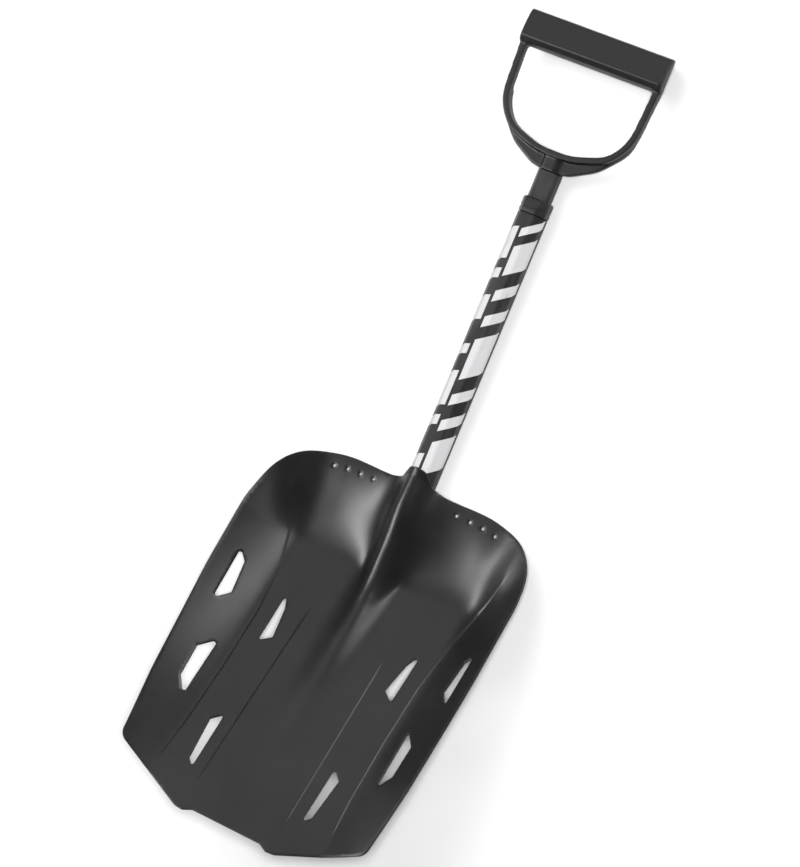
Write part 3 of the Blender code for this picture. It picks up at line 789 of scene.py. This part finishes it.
def grid_points(step, low, high):
    """A triangular grid between two corners."""
    points = []
    rows = round((high[1] - low[1]) / (step * ROW_SPACING))
    columns = round((high[0] - low[0]) / step)
    for row in range(rows + 1):
        y = low[1] + (high[1] - low[1]) * row / rows
        for column in range(columns + 1):
            points.append((low[0] + step * (column + 0.5 * (row % 2)), y))
    return points


def in_fine_area(point):
    return abs(point[0]) < FINE_HALF_WIDTH and point[1] > FINE_START


def inner_points(corners):
    """Mesh points along the pressed lines, close together at the tunnel and wider elsewhere.

    Some fall outside the outline. They get no faces, and blade_surface deletes them.
    """
    rim = tree_of(corners)
    pressed = [point for point in crease_points() if not near_any(rim, point, RIM_CLEARANCE)]
    fixed = tree_of(corners + pressed)
    close = grid_points(FINE, (-FINE_HALF_WIDTH, FINE_START), (FINE_HALF_WIDTH, GRID_TOP))
    close = [point for point in close if not near_any(fixed, point, FINE_CLEARANCE)]
    wide = grid_points(COARSE, (-BLADE_HALF_WIDTH, -TIP_REACH), (BLADE_HALF_WIDTH, GRID_TOP))
    wide = [point for point in wide if not in_fine_area(point)]
    wide = [point for point in wide if not near_any(fixed, point, COARSE_CLEARANCE)]
    return pressed + close + wide


def blade_surface():
    """The blade's upper face, flat points joined into triangles and then lifted into shape."""
    loops = blade_loops()
    corners = []
    edges = []
    for loop in loops:
        first = len(corners)
        corners.extend((point.x, point.y) for point in loop)
        edges.extend((first + n, first + (n + 1) % len(loop)) for n in range(len(loop)))
    flat = [Vector(point) for point in corners + inner_points(corners)]
    points, _, faces, *_ = delaunay_2d_cdt(flat, edges, [], INSIDE_ONLY, MERGE_DISTANCE)
    body = bmesh.new()
    vertices = [body.verts.new((point.x, point.y, blade_height(point.x, point.y))) for point in points]
    for face in faces:
        body.faces.new([vertices[number] for number in face])
    filled = [face for face in body.faces if in_a_hole(face.calc_center_median(), loops[1:])]
    bmesh.ops.delete(body, geom=filled, context="FACES")
    bmesh.ops.delete(body, geom=[v for v in body.verts if not v.link_faces], context="VERTS")
    bmesh.ops.recalc_face_normals(body, faces=body.faces)
    if sum(face.normal.z for face in body.faces) < 0.0:
        bmesh.ops.reverse_faces(body, faces=body.faces[:])
    return body


def make_blade(material):
    """The pressed sheet as one fine surface, thickened downwards, with eased edges."""
    body = blade_surface()
    body.transform(blade_frame())
    blade = new_piece("blade_sheet", body, material)
    solidify = blade.modifiers.new("Sheet", "SOLIDIFY")
    solidify.thickness = SHEET * MM
    solidify.offset = -1.0
    solidify.use_even_offset = True
    bevel = blade.modifiers.new("Edge", "BEVEL")
    bevel.width = EDGE_BEVEL * MM
    bevel.segments = EDGE_SEGMENTS
    bevel.limit_method = "ANGLE"
    bevel.angle_limit = math.radians(EDGE_ANGLE)
    bevel.use_clamp_overlap = False
    worked_out(blade)
    blade.data.set_sharp_from_angle(angle=math.radians(SHEET_SMOOTH_ANGLE))
    return blade


def wall_width(offset, z):
    """Half the width of the socket's wall at a height. Over the tube's middle the wall is upright."""
    outline = [point for point in tube_section(offset) if point.x > 0.0]
    for above, below in zip(outline, outline[1:]):
        if below.y <= min(z, 0.0) <= above.y:
            part = (above.y - min(z, 0.0)) / max(above.y - below.y, NOTHING)
            return above.x + (below.x - above.x) * part
    return outline[-1].x


def rim_ring(side, y, top):
    """Section of one strip: up its outer face and down its inner face."""
    heights = [RIM_FOOT + (top - RIM_FOOT) * level / RIM_LEVELS for level in range(RIM_LEVELS + 1)]
    outer = SOCKET_FACE - RIM_INSET
    inner = FIT + RIM_INSET
    ring = [(side * wall_width(outer, z), y, z) for z in heights]
    return ring + [(side * wall_width(inner, z), y, z) for z in reversed(heights)]


def make_socket_rim(blade, material):
    """Two side strips between the plate's wall and the blade, which rises higher over the shaft."""
    body = bmesh.new()
    low, high = RIM_ENDS
    stations = round((high - low) / RIM_STEP)
    middle = wall_width((SOCKET_FACE + FIT) / 2.0, 0.0)
    for side in (1.0, -1.0):
        loops = []
        for station in range(stations + 1):
            y = low + (high - low) * station / stations
            start = Vector((side * middle, y, RIM_FOOT + AXIS_HEIGHT)) * MM
            _, underside, *_ = blade.ray_cast(start, Vector((0.0, 0.0, 1.0)))
            ring = rim_ring(side, y, underside.z / MM - AXIS_HEIGHT + RIM_SINK)
            loops.append([body.verts.new(point) for point in ring])
        for first, second in zip(loops, loops[1:]):
            for step in range(len(first)):
                body.faces.new((first[step - 1], first[step], second[step], second[step - 1]))
        for end in (loops[0], loops[-1]):
            body.faces.new(end)
    bmesh.ops.triangulate(body, faces=[face for face in body.faces if len(face.verts) > 4])
    bmesh.ops.recalc_face_normals(body, faces=body.faces)
    return new_piece("socket_rim", body, material)


# Print on the outer tube

def round_the_tube(offset):
    """The section as (distance from the front's middle, x, z), from far left to far right."""
    outline = tube_section(offset)
    right = outline[:len(outline) // 2]
    path = [(0.0, 0.0, right[0].y)]
    for point in right:
        last = path[-1]
        step = math.hypot(point.x - last[1], point.y - last[2])
        if step > NOTHING:
            path.append((last[0] + step, point.x, point.y))
    left = [(-distance, -x, z) for distance, x, z in reversed(path[1:])]
    return left + path


def on_tube(path, distance):
    """The place on the section at a distance round it from the front's middle."""
    for (d0, x0, z0), (d1, x1, z1) in zip(path, path[1:]):
        if distance <= d1:
            part = (distance - d0) / (d1 - d0)
            return x0 + (x1 - x0) * part, z0 + (z1 - z0) * part
    return path[-1][1:]


def add_block(body, paths, band, block):
    """One slanted block between an outer and an inner path round the tube."""
    near, far = band
    start, length, slant = block
    rails = []
    for path in paths:
        for end in (0.0, length):
            rail = []
            for column in range(PRINT_COLUMNS + 1):
                part = column / PRINT_COLUMNS
                x, z = on_tube(path, near + (far - near) * part)
                rail.append(body.verts.new((x, start + end + slant * part, z)))
            rails.append(rail)
    top_low, top_high, base_low, base_high = rails
    around = (top_low, top_high, base_high, base_low)
    for column in range(PRINT_COLUMNS):
        for number, first in enumerate(around):
            second = around[(number + 1) % len(around)]
            body.faces.new((first[column], first[column + 1], second[column + 1], second[column]))
    for column in (0, PRINT_COLUMNS):
        body.faces.new([rail[column] for rail in around])


def make_print(material):
    """Slanted blocks in two bands, each a thin patch that wraps round the tube's facets."""
    paths = (round_the_tube(PRINT_PROUD), round_the_tube(0.0))
    body = bmesh.new()
    for blocks, band in ((LEFT_BLOCKS, LEFT_BAND), (RIGHT_BLOCKS, RIGHT_BAND)):
        for block in blocks:
            add_block(body, paths, band, block)
    bmesh.ops.recalc_face_normals(body, faces=body.faces)
    return new_piece("shaft_print", body, material)


# Tubes, collar and grip

def make_outer_tube(material):
    tube = new_piece("outer_tube", tube_wall(0.0, LOWER_BORE, *LOWER_ENDS), material)
    for y in (BLADE_LOCK, EXTENSION_LOCK, EXTENSION_LOCK + EXTENSION):
        drill(tube, BUTTON_HOLE_RADIUS, y)
    return tube


def make_inner_tube(material):
    tube = new_piece("inner_tube", tube_wall(UPPER_FACE, UPPER_BORE, *UPPER_ENDS), material)
    drill(tube, BUTTON_HOLE_RADIUS, EXTENSION_LOCK)
    return tube


def make_collar(material):
    """The collar outside the tube: eased ends and one shallow groove round it."""
    low, high = COLLAR_ENDS
    groove = low + COLLAR_GROOVE_SHARE * (high - low)
    stations = []
    for place, profile in ((low, COLLAR_LOW_END), (groove, COLLAR_GROOVE), (high, COLLAR_HIGH_END)):
        stations.extend((COLLAR_FACE + step, place + along) for step, along in profile)
    step, along = COLLAR_BORE_EDGE
    stations += [(COLLAR_BORE + step, high), (COLLAR_BORE, high - along), (COLLAR_BORE, low)]
    return new_piece("collar", section_wall(stations), material)


def slab(name, outline, low, high, axis, material):
    """An outline extruded along an axis."""
    turns = {
        "X": Matrix(((0, 0, 1), (1, 0, 0), (0, 1, 0))),
        "Y": Matrix(((1, 0, 0), (0, 0, 1), (0, 1, 0))),
        "Z": Matrix.Identity(3),
    }
    body = bmesh.new()
    ends = []
    for depth in (low, high):
        ends.append([body.verts.new(turns[axis] @ Vector((x, y, depth))) for x, y in outline])
    for end in ends:
        body.faces.new(end)
    for number in range(len(outline)):
        body.faces.new((ends[0][number - 1], ends[0][number], ends[1][number], ends[1][number - 1]))
    bmesh.ops.triangulate(body, faces=[face for face in body.faces if len(face.verts) > 4])
    bmesh.ops.recalc_face_normals(body, faces=body.faces)
    return new_piece(name, body, material)


def make_grip_moulding(material):
    """Hand bar, two arms, a yoke with a thin web behind it and a neck, with moulded round edges."""
    def part(outline, low, high, axis):
        return slab("grip_moulding", rounded(outline, GRIP_BAR_STEPS), low, high, axis, material)

    def curved(half, low, high):
        outline = resampled(rounded(both_sides(half), GRIP_CURVE_STEPS), GRIP_EDGE_STEP)
        return slab("grip_moulding", faired(outline, GRIP_FAIRING), low, high, "Z", material)

    grip = curved(GRIP_BAND, ARM_BACK, ARM_FRONT)
    combine(grip, curved(GRIP_WEB, WEB_BACK, WEB_FRONT), "UNION")
    combine(grip, curved(GRIP_OPENING, -GRIP_CUT, GRIP_CUT), "DIFFERENCE")
    bar = part(BAR_SECTION, -GRIP_HALF_WIDTH, GRIP_HALF_WIDTH, "X")
    combine(bar, part(both_sides(BAR_PLAN), BAR_PLAN_START, BAR_PLAN_END, "Y"), "INTERSECT")
    combine(grip, bar, "UNION")
    section = [(point.x, point.y) for point in tube_section(NECK_FACE)]
    combine(grip, slab("neck", section, NECK_LOW, NECK_TOP, "Y", material), "UNION")
    remesh = grip.modifiers.new("Remesh", "REMESH")
    remesh.mode = "VOXEL"
    remesh.voxel_size = GRIP_VOXEL
    remesh.use_smooth_shade = True
    smooth = grip.modifiers.new("Smooth", "SMOOTH")
    smooth.factor = GRIP_SMOOTHING_SHARE
    smooth.iterations = GRIP_SMOOTHING
    worked_out(grip)
    grip.name = "grip_moulding"
    grip.data.shade_smooth()
    return grip


# Studio

def make_camera():
    data = bpy.data.cameras.new("camera")
    data.lens = CAMERA_LENS
    data.sensor_width = CAMERA_SENSOR
    data.clip_end = CAMERA_CLIP
    camera = bpy.data.objects.new("camera", data)
    bpy.context.scene.collection.objects.link(camera)
    place = Vector(CAMERA_PLACE)
    aim = (Vector(CAMERA_AIM) - place).to_track_quat("-Z", "Y").to_matrix().to_4x4()
    camera.matrix_world = Matrix.Translation(place) @ aim @ Matrix.Rotation(CAMERA_ROLL, 4, "Z")
    bpy.context.scene.camera = camera


def area_light(name, place, size, power, mirrored):
    """A soft light. A mirrored one only makes highlights, and the others make none."""
    data = bpy.data.lights.new(name, "AREA")
    data.shape = "RECTANGLE"
    data.size, data.size_y = size
    data.energy = power
    light = bpy.data.objects.new(name, data)
    light.location = place
    light.visible_glossy = mirrored
    light.visible_diffuse = not mirrored
    towards = Vector(LIGHT_AIM) - Vector(place)
    light.rotation_euler = towards.to_track_quat("-Z", "Y").to_euler()
    bpy.context.scene.collection.objects.link(light)


def make_world():
    world = bpy.data.worlds.new("studio")
    world.use_nodes = True
    background = world.node_tree.nodes["Background"]
    background.inputs["Color"].default_value = (1.0, 1.0, 1.0, 1.0)
    background.inputs["Strength"].default_value = WORLD_STRENGTH
    bpy.context.scene.world = world
    bpy.context.scene.view_settings.view_transform = "Standard"


def make_stage():
    body = bmesh.new()
    bmesh.ops.create_grid(body, x_segments=STAGE_CELLS, y_segments=STAGE_CELLS, size=STAGE_REACH)
    mesh = bpy.data.meshes.new("floor")
    body.to_mesh(mesh)
    body.free()
    mesh.materials.append(plain_floor("floor"))
    floor = bpy.data.objects.new("floor", mesh)
    bpy.context.scene.collection.objects.link(floor)


def dress(names, material):
    """Give CAD nodes a finished material."""
    for name in names:
        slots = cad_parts[name].data.materials
        slots.clear()
        slots.append(material)


def stand_in(piece, body, slot, *nodes):
    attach(piece, body)
    if nodes:
        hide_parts(*nodes)


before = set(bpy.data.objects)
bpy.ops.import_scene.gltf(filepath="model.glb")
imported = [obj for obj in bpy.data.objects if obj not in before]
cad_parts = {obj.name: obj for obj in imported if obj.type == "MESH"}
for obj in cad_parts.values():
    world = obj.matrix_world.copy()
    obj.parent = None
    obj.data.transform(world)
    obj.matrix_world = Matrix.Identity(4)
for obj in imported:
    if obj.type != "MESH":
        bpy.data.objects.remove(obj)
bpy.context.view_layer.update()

blade_coat = coated_metal("blade_coat", BLADE_COLOUR, BLADE_WORN_AND_EDGE_HIGHLIGHT, BLADE_ROUGHNESS)
plate_coat = coated_metal("plate_coat", BLADE_COLOUR, BLADE_WORN_AND_EDGE_HIGHLIGHT, PLATE_ROUGHNESS)
shaft_coat = coated_metal(
    "shaft_coat", SHAFT_COLOUR, BLADE_WORN_AND_EDGE_HIGHLIGHT, SHAFT_ROUGHNESS, gloss=0.3, grain=1600.0, orange_peel=0.00002
)
rivet_coat = coated_metal("rivet_coat", SHAFT_COLOUR, BLADE_WORN_AND_EDGE_HIGHLIGHT, RIVET_ROUGHNESS)
grip_plastic = moulded_plastic("grip_plastic", GRIP_COLOUR, PLASTIC_ROUGHNESS, GRIP_GRAIN)
nylon = moulded_plastic("nylon", NYLON_COLOUR, PLASTIC_ROUGHNESS, NYLON_GRAIN)
ink = printed_ink("ink")
steel = drawn_steel("steel")

dress(["socket_plate"], plate_coat)
dress([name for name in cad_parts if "rivet" in name], rivet_coat)
dress(["lower_shaft_plug", "upper_shaft_plug"], nylon)
dress([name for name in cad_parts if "button" in name], steel)

blade_sheet = make_blade(blade_coat)
stand_in(blade_sheet, "blade", "blade_coat", "blade")
bpy.context.view_layer.update()
stand_in(make_socket_rim(blade_sheet, plate_coat), "blade", "plate_coat")
stand_in(make_outer_tube(shaft_coat), "lower_shaft", "shaft_coat", "lower_shaft")
stand_in(make_inner_tube(shaft_coat), "upper_shaft", "shaft_coat", "upper_shaft")
stand_in(make_collar(nylon), "lower_shaft", "nylon", "guide_collar")
stand_in(make_print(ink), "lower_shaft", "shaft_coat")
stand_in(make_grip_moulding(grip_plastic), "upper_shaft", "grip_plastic", "d_grip")

make_camera()
make_world()
for light in LIGHTS:
    area_light(*light)
make_stage()
